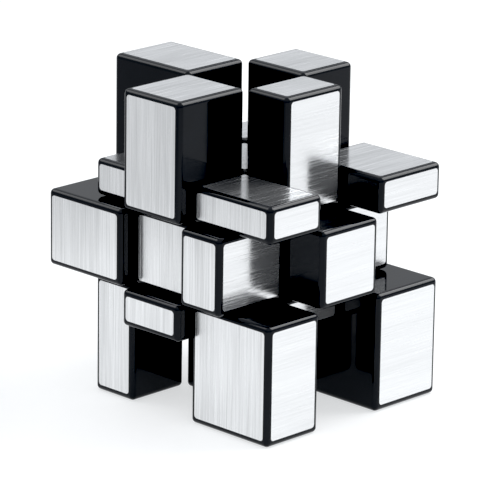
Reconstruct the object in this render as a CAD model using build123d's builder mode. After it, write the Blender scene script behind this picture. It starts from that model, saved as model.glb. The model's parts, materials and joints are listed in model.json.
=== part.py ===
from build123d import *
import os

# A mirror-block puzzle: a 3 x 3 x 3 twisty puzzle whose six outer layers all differ in thickness. It stands
# in its checkered arrangement. Each of the three middle slices has had a half turn, so the corners and centres
# are at home, and every edge piece is at the place diagonally opposite its own.
#
# Millimetres. The origin is the middle of the core, where the three turning axes cross. +X is right, -Y is
# front and +Z is top.
#
# Every cut between two layers is a plane square to an axis, and it steps closer to the core inside each of two
# spheres about the origin. Planes and spheres alone divide the pieces, so every face can turn. A corner's foot
# hooks under its three neighbouring edges, an edge's foot hooks under its two neighbouring centres, and each
# centre is held to an arm of the core by a screw and a spring.

# Overall size
CUBE = 57.0  # the puzzle's width each way when it is solved
LAYER = CUBE / 3  # thickness of the three middle slices
THICKNESS = {
    "right": 25.0,
    "left": 13.0,
    "back": 21.0,
    "front": 17.0,
    "top": 9.0,
    "bottom": 29.0,
}

# Blocks
CUT = LAYER / 2  # from the core to every outer cut
CUT_GAP = 0.15  # half the gap between two neighbouring blocks
BLOCK_ROUND = 1.2
WALL = 1.5

# Inner cuts
PLAY = 0.2  # half the gap between two sliding surfaces
LIP_CUT, LIP_SPHERE = 6.9, 18.8  # here an edge covers the corners' feet
HOOK_CUT, HOOK_SPHERE = 4.2, 12.0  # here a centre covers the edges' feet
SEAM_SPHERE = LIP_SPHERE + PLAY  # the inner surface of every block

# Pegs that fix the feet in their blocks
PEG_START = 10.4
CORNER_PEG_END = 14.5
EDGE_PEG_END = 15.5
EDGE_PEG_HALF_WIDTH = 4.5

# Core and centres, as distances along each arm
HUB_HALF = HOOK_CUT - PLAY
HUB_ROUND = 1.2
ARM_RADIUS, ARM_END = 2.5, 8.6
PILOT_RADIUS, PILOT_START = 1.3, 3.2
STEM_BORE_RADIUS, STEM_BORE_END = 2.6, 8.8
SPRING_FLOOR, SPRING_ROOM_RADIUS = 10.0, 3.4
SCREW_HOLE_RADIUS = 1.45
BASE_END = 16.6
SPIGOT_START, SPIGOT_RADIUS, SPIGOT_BORE_RADIUS = 15.7, 3.35, 2.85

# Screws, washers and springs
SCREW_RADIUS, SCREW_TIP, TIP_CHAMFER = 1.25, 3.5, 0.6
HEAD_RADIUS, HEAD_START, HEAD_END, HEAD_ROUND = 2.6, 14.5, 16.3, 0.5
CROSS_LENGTH, CROSS_WIDTH, CROSS_DEPTH = 3.0, 0.7, 1.1
WASHER_RADIUS, WASHER_BORE_RADIUS, WASHER_THICKNESS = 3.0, 1.35, 0.4
WIRE_RADIUS, COIL_RADIUS, COIL_TURNS = 0.25, 2.6, 3.5

FAR = 2 * CUBE  # beyond every piece
SIDES = {
    "x": {1: "right", -1: "left"},
    "y": {1: "back", -1: "front"},
    "z": {1: "top", -1: "bottom"},
}
FROM_BASE = (Align.CENTER, Align.CENTER, Align.MIN)


def outer_axes(cell):
    """The axes along which a cell is in an outer layer."""
    return [axis for axis in "xyz" if cell[axis]]


def side_names(cell):
    """The outer layers that a cell is in, such as top_front."""
    return "_".join(SIDES[axis][cell[axis]] for axis in "zyx" if cell[axis])


def block_end(cell, axis):
    """The distance from the core at which a cell's block ends along an axis.

    An edge stands diagonally opposite its home, so it is as thick as the layer on the far side.
    """
    home_side = -cell[axis] if len(outer_axes(cell)) == 2 else cell[axis]
    return CUT + THICKNESS[SIDES[axis][home_side]]


def block_limits(cell, inset=0.0):
    """The low and high limit of a cell's block along each axis, moved inwards by an inset."""
    limits = []
    for axis in "xyz":
        side = cell[axis]
        start, end = (CUT + CUT_GAP, block_end(cell, axis)) if side else (-(CUT - CUT_GAP), CUT - CUT_GAP)
        low, high = sorted((side * start, side * end)) if side else (start, end)
        limits.append((low + inset, high - inset))
    return limits


def inner_limits(cell, cut):
    """A cell's limits between the cuts of an inner level, which a sphere ends."""
    limits = []
    for axis in "xyz":
        side = cell[axis]
        limits.append(sorted((side * (cut + PLAY), side * FAR)) if side else (PLAY - cut, cut - PLAY))
    return limits


def peg_limits(cell):
    """The limits of the peg between a cell's foot and its block."""
    peg_end = CORNER_PEG_END if len(outer_axes(cell)) == 3 else EDGE_PEG_END
    limits = []
    for axis in "xyz":
        side = cell[axis]
        across = (-EDGE_PEG_HALF_WIDTH, EDGE_PEG_HALF_WIDTH)
        limits.append(sorted((side * PEG_START, side * peg_end)) if side else across)
    return limits


def shared_limits(first, second):
    """The limits that two boxes share."""
    return [(max(a[0], b[0]), min(a[1], b[1])) for a, b in zip(first, second)]


def box(limits, mode=Mode.ADD):
    """Adds or cuts a box with these limits in the part being built."""
    with Locations(tuple((low + high) / 2 for low, high in limits)):
        Box(*(high - low for low, high in limits), mode=mode)


def round_bar(arm, radius, start, end, mode=Mode.ADD):
    """Adds or cuts a round stretch along an arm in the part being built."""
    with Locations(arm.offset(start)):
        Cylinder(radius, end - start, align=FROM_BASE, mode=mode)


def square_bar(arm, half_width, start, end, mode=Mode.ADD):
    """Adds or cuts a square stretch along an arm in the part being built."""
    with Locations(arm.offset(start)):
        Box(2 * half_width, 2 * half_width, end - start, align=FROM_BASE, mode=mode)


def arm_plane(cell):
    """The plane through the core that faces along a centre's arm."""
    return Plane(origin=(0, 0, 0), z_dir=(cell["x"], cell["y"], cell["z"]))


def ball_part(limits, radius):
    """The part of a box that is inside a sphere about the core."""
    with BuildPart() as piece:
        box(limits)
        Sphere(radius, mode=Mode.INTERSECT)
    return piece.part


def hollow_shell(cell):
    """The hollow block of an edge or a corner, with a socket for its foot's peg."""
    with BuildPart() as hollow:
        box(block_limits(cell, inset=WALL))
        Sphere(SEAM_SPHERE + WALL, mode=Mode.SUBTRACT)
    with BuildPart() as shell:
        box(block_limits(cell))
        fillet(shell.edges(), BLOCK_ROUND)
        Sphere(SEAM_SPHERE, mode=Mode.SUBTRACT)
        add(hollow.part, mode=Mode.SUBTRACT)
        box(peg_limits(cell), mode=Mode.SUBTRACT)
    return shell


def hooked_foot(cell):
    """The foot of an edge or a corner: lips that hook under the neighbours, a neck and a peg."""
    lip_limits = inner_limits(cell, LIP_CUT)
    hook_limits = inner_limits(cell, HOOK_CUT)
    lips = ball_part(lip_limits, LIP_SPHERE - PLAY)
    neck = ball_part(shared_limits(lip_limits, block_limits(cell)), SEAM_SPHERE)
    hook = ball_part(hook_limits, HOOK_SPHERE - PLAY)
    hook_neck = ball_part(shared_limits(lip_limits, hook_limits), HOOK_SPHERE + 2 * PLAY)
    with BuildPart() as foot:
        add(lips)
        Sphere(HOOK_SPHERE + PLAY, mode=Mode.SUBTRACT)
        if len(outer_axes(cell)) == 2:
            add(hook)
            add(hook_neck)
        add(neck)
        box(peg_limits(cell))
    return foot


def centre_base(cell):
    """A centre's sprung base: a flange over the edges' feet, on a stem that turns on the core's arm."""
    arm = arm_plane(cell)
    with BuildPart() as base:
        square_bar(arm, LIP_CUT - PLAY, LIP_CUT + PLAY, BASE_END)
        Sphere(HOOK_SPHERE + PLAY, mode=Mode.SUBTRACT)
        round_bar(arm, HOOK_CUT - PLAY, HOOK_CUT + PLAY, HOOK_SPHERE + 2 * PLAY)
        round_bar(arm, STEM_BORE_RADIUS, HOOK_CUT, STEM_BORE_END, Mode.SUBTRACT)
        round_bar(arm, SCREW_HOLE_RADIUS, STEM_BORE_END, SPRING_FLOOR, Mode.SUBTRACT)
        round_bar(arm, SPRING_ROOM_RADIUS, SPRING_FLOOR, BASE_END, Mode.SUBTRACT)
    return base


def centre_cap(cell):
    """A centre's block, which covers its base and screw. A tall one is hollow."""
    arm = arm_plane(cell)
    cap_end = block_end(cell, outer_axes(cell)[0])
    hollow_start, hollow_end = BASE_END + WALL, cap_end - WALL
    with BuildPart() as clearance:
        Sphere(SEAM_SPHERE)
        square_bar(arm, LIP_CUT - PLAY, BASE_END, FAR, Mode.SUBTRACT)
        square_bar(arm, LIP_CUT - PLAY, 0, BASE_END)
    with BuildPart() as cap:
        box(block_limits(cell))
        fillet(cap.edges(), BLOCK_ROUND)
        add(clearance.part, mode=Mode.SUBTRACT)
        round_bar(arm, SPIGOT_RADIUS, SPIGOT_START, BASE_END)
        round_bar(arm, SPIGOT_BORE_RADIUS, SPIGOT_START, BASE_END, Mode.SUBTRACT)
        if hollow_end > hollow_start:
            square_bar(arm, CUT - CUT_GAP - WALL, hollow_start, hollow_end, Mode.SUBTRACT)
            round_bar(arm, SPIGOT_BORE_RADIUS, BASE_END, hollow_start, Mode.SUBTRACT)
    return cap


def coil_spring(cell):
    """The spring between a centre's base and its screw's washer, which pulls the centre towards the core."""
    start = arm_plane(cell).offset(SPRING_FLOOR + WIRE_RADIUS)
    rise = HEAD_START - WASHER_THICKNESS - SPRING_FLOOR - 2 * WIRE_RADIUS
    with BuildPart() as spring:
        with BuildLine() as coil:
            Helix(rise / COIL_TURNS, rise, COIL_RADIUS, center=start.origin, direction=start.z_dir)
        with BuildSketch(Plane(origin=coil.line @ 0, z_dir=coil.line % 0)):
            Circle(WIRE_RADIUS)
        sweep(path=coil.line, is_frenet=True)
    return spring


def axle_screw(cell):
    """A pan-head screw with a cross recess, the axle of one face."""
    arm = arm_plane(cell)
    with BuildPart() as screw:
        round_bar(arm, SCREW_RADIUS, SCREW_TIP, HEAD_START)
        chamfer(screw.edges().filter_by(GeomType.CIRCLE).sort_by_distance((0, 0, 0))[0], TIP_CHAMFER)
        round_bar(arm, HEAD_RADIUS, HEAD_START, HEAD_END)
        fillet(screw.edges().filter_by(GeomType.CIRCLE).sort_by_distance((0, 0, 0))[-1], HEAD_ROUND)
        with BuildSketch(arm.offset(HEAD_END)):
            Rectangle(CROSS_LENGTH, CROSS_WIDTH)
            Rectangle(CROSS_WIDTH, CROSS_LENGTH)
        extrude(amount=-CROSS_DEPTH, mode=Mode.SUBTRACT)
    return screw


def washer(cell):
    """The washer between a screw's head and its spring."""
    arm = arm_plane(cell)
    with BuildPart() as ring:
        round_bar(arm, WASHER_RADIUS, HEAD_START - WASHER_THICKNESS, HEAD_START)
        round_bar(arm, WASHER_BORE_RADIUS, HEAD_START - WASHER_THICKNESS, HEAD_START, Mode.SUBTRACT)
    return ring


def write(piece, name):
    """Labels a finished piece and writes its file."""
    piece.part.label = name
    export_step(piece.part, f"parts/{name}.step")


os.makedirs("parts", exist_ok=True)

cells = [{"x": x, "y": y, "z": z} for x in (1, 0, -1) for y in (1, 0, -1) for z in (1, 0, -1)]
centres = [cell for cell in cells if len(outer_axes(cell)) == 1]
edges = [cell for cell in cells if len(outer_axes(cell)) == 2]
corners = [cell for cell in cells if len(outer_axes(cell)) == 3]

# Core: a rounded hub with six arms, each drilled for its screw
with BuildPart() as core_spider:
    Box(2 * HUB_HALF, 2 * HUB_HALF, 2 * HUB_HALF)
    fillet(core_spider.edges(), HUB_ROUND)
    for centre in centres:
        round_bar(arm_plane(centre), ARM_RADIUS, 0, ARM_END)
    for centre in centres:
        round_bar(arm_plane(centre), PILOT_RADIUS, PILOT_START, ARM_END, Mode.SUBTRACT)
write(core_spider, "core_spider")

# Six screws and their washers, which are all alike
fasteners = [make(centre).part for centre in centres for make in (axle_screw, washer)]
with BuildPart() as axle_screws:
    for fastener in fasteners:
        add(fastener)
write(axle_screws, "axle_screws")

for centre in centres:
    write(centre_base(centre), f"centre_{side_names(centre)}_base")
    write(centre_cap(centre), f"centre_{side_names(centre)}_cap")
    write(coil_spring(centre), f"spring_{side_names(centre)}")

for edge in edges:
    write(hollow_shell(edge), f"edge_{side_names(edge)}_shell")
    write(hooked_foot(edge), f"edge_{side_names(edge)}_foot")

for corner in corners:
    write(hollow_shell(corner), f"corner_{side_names(corner)}_shell")
    write(hooked_foot(corner), f"corner_{side_names(corner)}_foot")
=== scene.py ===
import json
from math import cos, pi, radians, sin

import bpy
from mathutils import Matrix, Vector


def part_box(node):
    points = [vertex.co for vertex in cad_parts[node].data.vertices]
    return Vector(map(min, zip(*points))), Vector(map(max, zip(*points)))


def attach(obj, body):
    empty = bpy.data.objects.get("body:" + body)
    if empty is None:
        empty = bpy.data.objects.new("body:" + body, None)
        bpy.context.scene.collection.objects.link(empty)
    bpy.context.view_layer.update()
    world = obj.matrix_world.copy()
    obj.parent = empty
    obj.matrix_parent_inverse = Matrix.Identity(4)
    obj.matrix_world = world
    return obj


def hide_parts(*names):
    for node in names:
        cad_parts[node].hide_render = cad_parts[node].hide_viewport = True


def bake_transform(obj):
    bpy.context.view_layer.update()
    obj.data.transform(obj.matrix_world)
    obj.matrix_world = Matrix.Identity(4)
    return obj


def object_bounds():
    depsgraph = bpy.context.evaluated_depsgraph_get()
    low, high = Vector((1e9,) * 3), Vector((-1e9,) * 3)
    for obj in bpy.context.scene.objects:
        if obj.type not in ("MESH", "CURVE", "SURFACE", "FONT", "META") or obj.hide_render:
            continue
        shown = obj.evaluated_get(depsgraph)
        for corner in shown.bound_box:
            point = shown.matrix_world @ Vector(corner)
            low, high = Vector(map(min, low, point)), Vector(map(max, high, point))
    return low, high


# The looks of a mirror-block puzzle, in metres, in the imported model's frame: the origin is the middle of the
# core, +X is right, -Y is front and +Z is top.

MM = 0.001

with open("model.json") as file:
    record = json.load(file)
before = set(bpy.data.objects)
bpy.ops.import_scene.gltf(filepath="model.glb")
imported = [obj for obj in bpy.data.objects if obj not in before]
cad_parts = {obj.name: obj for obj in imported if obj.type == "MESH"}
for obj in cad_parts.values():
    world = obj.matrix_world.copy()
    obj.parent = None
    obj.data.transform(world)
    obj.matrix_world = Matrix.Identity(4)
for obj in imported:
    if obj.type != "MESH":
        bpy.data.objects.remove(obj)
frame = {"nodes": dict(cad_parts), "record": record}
cad_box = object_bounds()

# Foils. A margin is the black border between a foil and the edge of its block.
INNER_MARGIN = 1.4 * MM  # beside a neighbouring block
SIDE_MARGIN = 1.3 * MM  # along the puzzle's outer sides
TOP_MARGIN = 1.15 * MM
BOTTOM_MARGIN = 1.5 * MM
INNER_REACH = 10 * MM  # a block's limits beside its neighbours are nearer to the core than this
FOIL_CORNER = 0.8 * MM
FOIL_THICKNESS = 0.06 * MM
FOIL_SINK = 0.02 * MM  # how far the foil's glued side sits inside the block
CORNER_STEPS = 8  # sides of each rounded corner
UV_UNIT = 10 * MM  # the length that one unit of a foil's UV map stands for

# Table
TABLE_REACH = 3.0  # from its middle to each side
# Painted light: how strongly the table glows at places across it, from its front-left to its back-right,
# standing in for the back softbox's light falling on it and filling in the shadows there. Each pair is x + y
# in metres and the glow there.
TABLE_PAINTED_LIGHT = (
    (-0.29, 0.18),
    (-0.24, 0.31),
    (-0.19, 0.47),
    (-0.12, 0.50),
    (-0.06, 0.62),
    (0.06, 0.62),
    (0.13, 0.54),
    (0.24, 0.56),
    (0.30, 0.40),
)

# Camera
CAMERA_AZIMUTH = radians(44.415)
CAMERA_ELEVATION = radians(17.17)
CAMERA_ROLL = radians(0.863)
CAMERA_DISTANCE = 890 * MM
CAMERA_RIGHT = 1.556 * MM  # the view's middle, to the right of the core and below it
CAMERA_DOWN = 4.262 * MM
LENS_MM, SENSOR_MM = 272.3, 36.0
CLIP_START, CLIP_END = 0.01, 20.0

# Light
BLACK_POINT = 0.018  # tones below this come out black
WORLD_COLOUR = (0.94, 0.965, 1, 1)
WORLD_LOW, WORLD_HIGH = 0.645, 1.14  # how bright the studio is near the floor and overhead
RISE_START, RISE_END = 0.25, 0.75  # it goes from one to the other between these heights of a direction

# The direction that each side faces, and the direction of its foils' grain
SIDES = {
    "right": (Vector((1, 0, 0)), Vector((0, 1, 0))),
    "left": (Vector((-1, 0, 0)), Vector((0, 1, 0))),
    "back": (Vector((0, 1, 0)), Vector((0, 0, 1))),
    "front": (Vector((0, -1, 0)), Vector((0, 0, 1))),
    "top": (Vector((0, 0, 1)), Vector((0, 1, 0))),
    "bottom": (Vector((0, 0, -1)), Vector((0, 1, 0))),
}


# ---------------------------------------------------------------- materials


class Nodes:
    """A material's or a world's node tree, with short calls to build it."""

    def __init__(self, owner):
        owner.use_nodes = True
        self.tree = owner.node_tree
        self.tree.nodes.clear()

    def add(self, kind, values=(), **settings):
        """A new node. values are its inputs by name or number, each a constant or a socket to link."""
        node = self.tree.nodes.new("ShaderNode" + kind)
        for key, value in settings.items():
            setattr(node, key, value)
        for key, value in dict(values).items():
            if isinstance(value, bpy.types.NodeSocket):
                self.tree.links.new(value, node.inputs[key])
            else:
                node.inputs[key].default_value = value
        return node

    def noise(self, scale, stretch=(1, 1, 1), detail=2.0, roughness=0.5, offset=(0, 0, 0)):
        """Noise in the object's own coordinates, from 0 to 1. stretch scales each axis, before scale does."""
        place = self.add("TexCoord").outputs["Object"]
        moved = self.add("Mapping", {"Vector": place, "Scale": stretch, "Location": offset})
        values = {"Vector": moved.outputs["Vector"], "Scale": scale, "Detail": detail, "Roughness": roughness}
        return self.add("TexNoise", values).outputs["Fac"]

    def map(self, value, low, high, from_low=0.0, from_high=1.0):
        """value moved from one range to another."""
        values = {"Value": value, "From Min": from_low, "From Max": from_high, "To Min": low, "To Max": high}
        return self.add("MapRange", values).outputs["Result"]

    def profile(self, value, stops):
        """A number that goes smoothly through stops, which are pairs of a value and the number there."""
        first, last = stops[0][0], stops[-1][0]
        share = self.map(value, 0.0, 1.0, first, last)
        ramp = self.add("ValToRGB", {"Fac": share})
        ramp.color_ramp.interpolation = "EASE"
        elements = ramp.color_ramp.elements
        while len(elements) < len(stops):
            elements.new(1.0)
        for element, (place, number) in zip(elements, stops):
            element.position = (place - first) / (last - first)
            element.color = (number, number, number, 1)
        return ramp.outputs["Color"]

    def ramp(self, value, low_colour, high_colour, start=0.0, end=1.0):
        """A colour between two, as value goes from start to end."""
        ramp = self.add("ValToRGB", {"Fac": value})
        ramp.color_ramp.elements[0].position = start
        ramp.color_ramp.elements[0].color = (*low_colour, 1)
        ramp.color_ramp.elements[1].position = end
        ramp.color_ramp.elements[1].color = (*high_colour, 1)
        return ramp.outputs["Color"]

    def mixed(self, first, second, share):
        """first and second, mixed as numbers."""
        mix = self.add("Mix", {"Factor": share, "A": first, "B": second}, data_type="FLOAT")
        return mix.outputs["Result"]

    def bump(self, height, distance, strength=1.0, normal=None):
        """A normal from a height, whose full range is distance."""
        values = {"Height": height, "Distance": distance, "Strength": strength}
        if normal is not None:
            values["Normal"] = normal
        return self.add("Bump", values).outputs["Normal"]

    def shader(self, values):
        """The principled shader, as the material's surface."""
        surface = self.add("BsdfPrincipled", values)
        output = self.add("OutputMaterial")
        self.tree.links.new(surface.outputs["BSDF"], output.inputs["Surface"])
        return surface


def black_plastic():
    """Polished black moulding: a faint ripple, and smudges that dull its gloss in places."""
    material = bpy.data.materials.new("black_plastic")
    nodes = Nodes(material)
    ripple = nodes.noise(120, detail=1.0)
    smudge = nodes.noise(90, detail=4.0, roughness=0.6, offset=(3, 1, 2))
    speck = nodes.noise(2500, detail=2.0)
    normal = nodes.bump(ripple, 6e-6, 0.5)
    normal = nodes.bump(speck, 2e-7, 0.5, normal)
    nodes.shader(
        {
            "Base Color": nodes.ramp(smudge, (0.003, 0.004, 0.006), (0.006, 0.0075, 0.0105), 0.3, 0.7),
            "Roughness": nodes.map(smudge, 0.05, 0.13, 0.35, 0.7),
            "Normal": normal,
            "Specular IOR Level": 0.27,
        }
    )
    return material


def silver(lightness):
    """The foil's faintly blue grey."""
    return (0.99 * lightness, lightness, 1.01 * lightness)


def brushed_foil(name, grain, darkest, lightest):
    """Brushed silver foil, whose scratches run along grain. Its lines go from darkest to lightest."""
    along, across = 70.0, 1.0
    fine = tuple(across if abs(g) < 0.5 else across / along for g in grain)
    material = bpy.data.materials.new(name)
    nodes = Nodes(material)
    scratches = nodes.noise(3600, fine, detail=2.0, roughness=0.6)
    streaks = nodes.noise(2600, fine, detail=3.0, roughness=0.65, offset=(0.01, 0.02, 0.03))
    bands = nodes.noise(220, fine, detail=2.0, roughness=0.5, offset=(0.05, 0.01, 0.07))
    sag = nodes.noise(70, detail=1.0)
    tone = nodes.mixed(streaks, scratches, 0.4)
    tone = nodes.mixed(tone, bands, 0.25)
    normal = nodes.bump(sag, 8e-6, 0.15)
    normal = nodes.bump(streaks, 6e-6, 1.0, normal)
    normal = nodes.bump(scratches, 3e-6, 1.0, normal)
    tangent = nodes.add("Tangent", direction_type="UV_MAP", uv_map="across_grain")
    nodes.shader(
        {
            "Base Color": nodes.ramp(tone, silver(darkest), silver(lightest), 0.37, 0.62),
            "Metallic": 0.9,
            "Roughness": nodes.map(scratches, 0.11, 0.28, 0.42, 0.68),
            "Anisotropic": 0.7,
            "Tangent": tangent.outputs["Tangent"],
            "Normal": normal,
        }
    )
    return material


def satin_plastic(name, low_colour, high_colour, roughness):
    """Plain moulded plastic with a fine grain."""
    material = bpy.data.materials.new(name)
    nodes = Nodes(material)
    grain = nodes.noise(1500, detail=3.0)
    nodes.shader(
        {
            "Base Color": nodes.ramp(nodes.noise(150, detail=3.0), low_colour, high_colour, 0.3, 0.7),
            "Roughness": nodes.map(grain, roughness - 0.06, roughness + 0.06, 0.3, 0.7),
            "Normal": nodes.bump(grain, 2e-6, 0.5),
        }
    )
    return material


def steel():
    """Plated steel of the screws, washers and springs, with drawn and rolled scratches."""
    material = bpy.data.materials.new("steel")
    nodes = Nodes(material)
    scratches = nodes.noise(3000, (1, 1, 0.1), detail=3.0)
    nodes.shader(
        {
            "Base Color": nodes.ramp(scratches, (0.50, 0.50, 0.49), (0.68, 0.68, 0.67), 0.3, 0.7),
            "Metallic": 1.0,
            "Roughness": nodes.map(scratches, 0.2, 0.38, 0.3, 0.7),
            "Normal": nodes.bump(scratches, 2e-6, 0.4),
        }
    )
    return material


def pale_floor():
    """The pale, softly lit table. Its glow is painted light: brighter towards the back-right, where the back
    softbox shines, and filling in the shadows on it so that they stay faint.
    """
    material = bpy.data.materials.new("pale_floor")
    nodes = Nodes(material)
    paper = nodes.noise(400, detail=3.0)
    place = nodes.add("SeparateXYZ", {"Vector": nodes.add("TexCoord").outputs["Object"]})
    across = nodes.add("Math", {0: place.outputs["X"], 1: place.outputs["Y"]}, operation="ADD")
    # painted light: the table's glow, brighter towards the back-right, standing in for the back softbox's
    # light
    painted_light = nodes.profile(across.outputs["Value"], TABLE_PAINTED_LIGHT)
    nodes.shader(
        {
            "Base Color": nodes.ramp(paper, (0.38, 0.38, 0.38), (0.42, 0.42, 0.42)),
            "Roughness": 0.6,
            "Specular IOR Level": 0.1,
            "Emission Color": (0.975, 0.99, 1.0, 1.0),
            "Emission Strength": painted_light,
        }
    )
    return material


MATERIALS = {
    "black_plastic": black_plastic(),
    "foot_plastic": satin_plastic("foot_plastic", (0.012, 0.012, 0.013), (0.02, 0.02, 0.021), 0.42),
    "core_plastic": satin_plastic("core_plastic", (0.70, 0.70, 0.67), (0.78, 0.78, 0.75), 0.45),
    "steel": steel(),
}
FOIL_MATERIALS = {
    # The foil on the right and left sides gets a lighter, flatter tone range than the same foil on the other
    # sides: painted light, for the brighter, flatter look of the right side where the light falls.
    "x": brushed_foil("foil_on_x_painted_lighter", (0, 1, 0), 0.77, 0.87),
    "y": brushed_foil("foil_on_y", (0, 0, 1), 0.66, 0.92),
    "z": brushed_foil("foil_on_z", (0, 1, 0), 0.67, 0.92),
}


def paint_cad_nodes():
    """Gives every carried-over CAD node the material of its slot."""
    for subpart in frame["record"]["subparts"]:
        node = frame["nodes"][subpart["node"]]
        for material_slot in node.material_slots:
            material_slot.material = MATERIALS[subpart["material_slot"]]


# ---------------------------------------------------------------- foils


def rounded_outline(half_width, half_height, radius):
    """The outline of a rounded rectangle about the origin, anticlockwise."""
    points = []
    for quarter, (side, end) in enumerate(((1, 1), (-1, 1), (-1, -1), (1, -1))):
        for step in range(CORNER_STEPS + 1):
            angle = (quarter + step / CORNER_STEPS) * pi / 2
            x = side * (half_width - radius) + radius * cos(angle)
            y = end * (half_height - radius) + radius * sin(angle)
            points.append((x, y))
    return points


def foil(name, low, high, normal, grain):
    """One foil: a thin plate with rounded corners, between two opposite corners of the face that it covers.

    Its UV map runs across and along the grain.
    """
    middle, half = (low + high) / 2, (high - low) / 2
    across = grain.cross(normal)
    outline = rounded_outline(abs(half.dot(across)), abs(half.dot(grain)), FOIL_CORNER)
    count = len(outline)
    vertices = []
    for height in (-FOIL_SINK, FOIL_THICKNESS):
        vertices += [middle + across * x + grain * y + normal * height for x, y in outline]
    faces = [tuple(reversed(range(count))), tuple(range(count, 2 * count))]
    faces += [(i, (i + 1) % count, (i + 1) % count + count, i + count) for i in range(count)]
    mesh = bpy.data.meshes.new(name)
    mesh.from_pydata(vertices, [], faces)
    uv = mesh.uv_layers.new(name="across_grain")
    for loop in mesh.loops:
        uv.data[loop.index].uv = [value / UV_UNIT for value in outline[loop.vertex_index % count]]
    mesh.validate()
    piece = bpy.data.objects.new(name, mesh)
    bpy.context.scene.collection.objects.link(piece)
    return piece


def foil_margin(limit, axis):
    """The width of the black border along a block's limit on this axis."""
    if abs(limit) < INNER_REACH:
        return INNER_MARGIN
    if axis < 2:
        return SIDE_MARGIN
    return TOP_MARGIN if limit > 0 else BOTTOM_MARGIN


def foils_of_block(node, body):
    """The foils on the outer faces of one block, which ride with it."""
    low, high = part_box(node)
    foil_low = Vector([value + foil_margin(value, axis) for axis, value in enumerate(low)])
    foil_high = Vector([value - foil_margin(value, axis) for axis, value in enumerate(high)])
    for side, (normal, grain) in SIDES.items():
        if side not in node.split("_"):
            continue
        axis = [abs(value) for value in normal].index(1)
        face_low, face_high = foil_low.copy(), foil_high.copy()
        face_low[axis] = face_high[axis] = high[axis] if normal[axis] > 0 else low[axis]
        block = node.rsplit("_", 1)[0]
        piece = foil(f"foil_{block}_on_{side}", face_low, face_high, normal, grain)
        piece.data.materials.append(FOIL_MATERIALS["xyz"[axis]])
        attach(piece, body)


# ---------------------------------------------------------------- springs


def squeezed_spring(side):
    """The spring under a centre: a steel copy in place of the rigid CAD one, which is hidden."""
    node = frame["nodes"][f"spring_{side}"]
    piece = bpy.data.objects.new(f"coil_{side}", node.data.copy())
    bpy.context.scene.collection.objects.link(piece)
    piece.data.materials.clear()
    piece.data.materials.append(MATERIALS["steel"])
    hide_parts(node.name)
    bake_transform(piece)


# ---------------------------------------------------------------- stage, light and camera


def camera_axes():
    """The camera's right, up and back directions."""
    level_right = Vector((cos(CAMERA_AZIMUTH), sin(CAMERA_AZIMUTH), 0))
    back = Vector((sin(CAMERA_AZIMUTH), -cos(CAMERA_AZIMUTH), 0)) * cos(CAMERA_ELEVATION)
    back.z = sin(CAMERA_ELEVATION)
    level_up = back.cross(level_right)
    right = cos(CAMERA_ROLL) * level_right + sin(CAMERA_ROLL) * level_up
    return right, back.cross(right), back


def add_camera():
    """The camera, at the height and angle of the studio shot."""
    right, up, back = camera_axes()
    camera = bpy.data.objects.new("camera", bpy.data.cameras.new("camera"))
    camera.data.lens = LENS_MM
    camera.data.sensor_width = SENSOR_MM
    camera.data.clip_start, camera.data.clip_end = CLIP_START, CLIP_END
    place = back * CAMERA_DISTANCE + right * CAMERA_RIGHT - up * CAMERA_DOWN
    turn = Matrix((right, up, back)).transposed().to_4x4()
    camera.matrix_world = Matrix.Translation(place) @ turn
    bpy.context.scene.collection.objects.link(camera)
    bpy.context.scene.camera = camera


def add_floor():
    """The plain floor under the bottom foils."""
    z = cad_box[0].z - FOIL_THICKNESS
    corners = [(x * TABLE_REACH, y * TABLE_REACH, z) for x, y in ((-1, -1), (1, -1), (1, 1), (-1, 1))]
    mesh = bpy.data.meshes.new("floor")
    mesh.from_pydata(corners, [], [(0, 1, 2, 3)])
    mesh.materials.append(pale_floor())
    floor = bpy.data.objects.new("floor", mesh)
    bpy.context.scene.collection.objects.link(floor)


def add_softbox(name, direction, distance, size, radiance):
    """A square softbox that faces the puzzle. radiance is how bright its surface looks."""
    lamp = bpy.data.lights.new(name, "AREA")
    lamp.shape = "SQUARE"
    lamp.size = size
    lamp.energy = radiance * pi * size * size
    softbox = bpy.data.objects.new(name, lamp)
    place = Vector(direction).normalized()
    turn = place.to_track_quat("Z", "Y").to_matrix().to_4x4()
    softbox.matrix_world = Matrix.Translation(place * distance) @ turn
    bpy.context.scene.collection.objects.link(softbox)


def add_world():
    """A studio that is greyer near the floor and bright overhead."""
    world = bpy.data.worlds.new("studio")
    bpy.context.scene.world = world
    nodes = Nodes(world)
    direction = nodes.add("TexCoord").outputs["Generated"]
    height = nodes.add("SeparateXYZ", {"Vector": direction}).outputs["Z"]
    strength = nodes.map(height, WORLD_LOW, WORLD_HIGH, RISE_START, RISE_END)
    background = nodes.add("Background", {"Strength": strength, "Color": WORLD_COLOUR})
    output = nodes.add("OutputWorld")
    nodes.tree.links.new(background.outputs["Background"], output.inputs["Surface"])


def set_tones():
    """A plain display transform with a slightly raised black point, for a catalogue shot's crisp contrast."""
    settings = bpy.context.scene.view_settings
    settings.view_transform = "Standard"
    settings.use_curve_mapping = True
    settings.curve_mapping.black_level = (BLACK_POINT, BLACK_POINT, BLACK_POINT)
    settings.curve_mapping.update()


add_camera()
add_floor()
add_softbox("softbox_left", (-0.92, -0.39, 0.92), 0.9, 0.4, 2.6)
add_softbox("softbox_back", (0.39, 0.92, 0.92), 0.8, 0.5, 5.7)
add_world()
set_tones()

paint_cad_nodes()
for body, nodes_of_body in frame["record"]["behaviour"]["bodies"].items():
    for node_name in nodes_of_body:
        if node_name.endswith(("_shell", "_cap")):
            foils_of_block(node_name, body)

for side, (normal, _) in SIDES.items():
    squeezed_spring(side)
